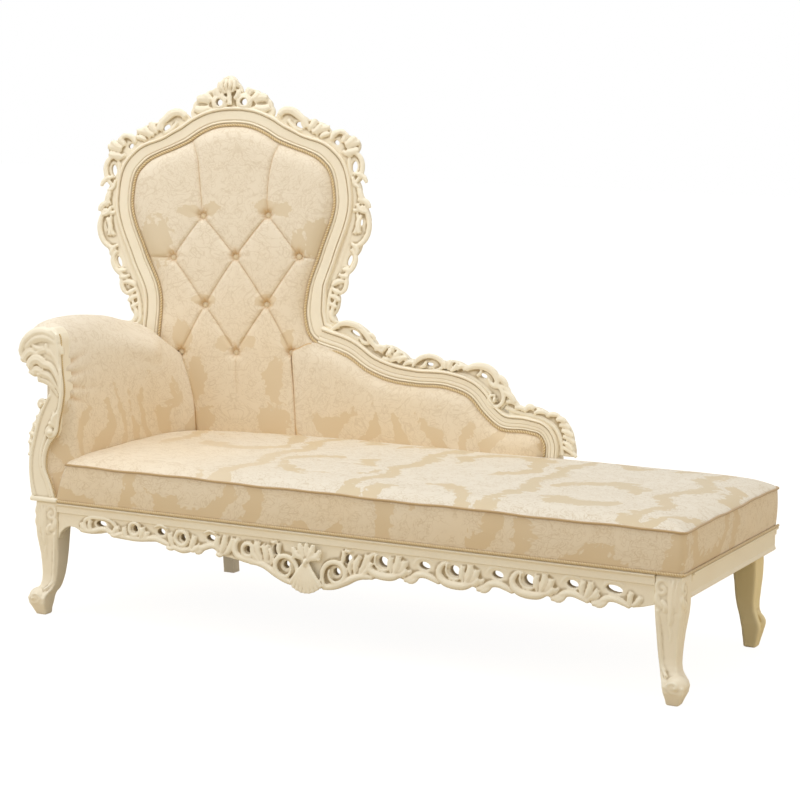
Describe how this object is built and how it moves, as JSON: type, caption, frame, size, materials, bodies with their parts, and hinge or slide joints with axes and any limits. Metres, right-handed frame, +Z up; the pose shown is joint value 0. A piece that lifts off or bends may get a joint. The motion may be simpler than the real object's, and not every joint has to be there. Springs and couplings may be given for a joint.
{
  "type": "chaise longue",
  "caption": "Carved and painted chaise longue with a buttoned cartouche back, one rolled arm, a low sloping wing and a long fixed damask seat.",
  "frame": {"origin": "on the floor under the middle of the whole, seen from above", "axes": "+X along the front rail from the armed head end to the open foot end, +Y from the front to the back, +Z up"},
  "size_m": [1.8584, 0.749, 1.3052],
  "materials": {
    "painted_hardwood": "cream paint, satin",
    "raw_hardwood": "sawn",
    "damask": "woven damask",
    "button_cloth": "satin cloth",
    "piping": "covered cord",
    "gold_braid": "braided",
    "outside_cloth": "woven",
    "dust_cloth": "non-woven",
    "webbing": "woven strap"
  },
  "bodies": {
    "root": {"apron_shell": "painted_hardwood", "arm_braid": "gold_braid", "arm_front_post": "painted_hardwood", "arm_leaf_carving": "painted_hardwood", "arm_outer_cover": "outside_cloth", "arm_pad": "damask", "arm_tack_rail": "raw_hardwood", "arm_top_rail": "raw_hardwood", "back_braid": "gold_braid", "back_left_stile": "painted_hardwood", "back_outer_cover": "outside_cloth", "back_rail": "raw_hardwood", "back_right_stile": "painted_hardwood", "back_tack_rail": "raw_hardwood", "back_webbing": "webbing", "corner_blocks": "raw_hardwood", "crest_carving": "painted_hardwood", "crest_dowels": "raw_hardwood", "crest_rail": "painted_hardwood", "dust_cover": "dust_cloth", "end_rail": "painted_hardwood", "front_apron": "painted_hardwood", "front_left_leg": "painted_hardwood", "front_rail": "painted_hardwood", "front_right_leg": "painted_hardwood", "head_rail": "raw_hardwood", "left_corner_carving": "painted_hardwood", "left_shoulder_carving": "painted_hardwood", "left_side_carving": "painted_hardwood", "rear_left_leg": "raw_hardwood", "rear_right_leg": "painted_hardwood", "right_corner_carving": "painted_hardwood", "right_shoulder_carving": "painted_hardwood", "right_side_carving": "painted_hardwood", "seat_bearers": "raw_hardwood", "seat_braid": "gold_braid", "seat_pad": "damask", "seat_piping": "piping", "seat_webbing": "webbing", "tuft_buttons": "button_cloth", "tufted_back_pad": "damask", "wing_braid": "gold_braid", "wing_end_carving": "painted_hardwood", "wing_end_post": "painted_hardwood", "wing_middle_carving": "painted_hardwood", "wing_outer_cover": "outside_cloth", "wing_pad": "damask", "wing_rail": "painted_hardwood", "wing_tack_rail": "raw_hardwood", "wing_upper_carving": "painted_hardwood", "wing_webbing": "webbing"}
  },
  "joints": []
}
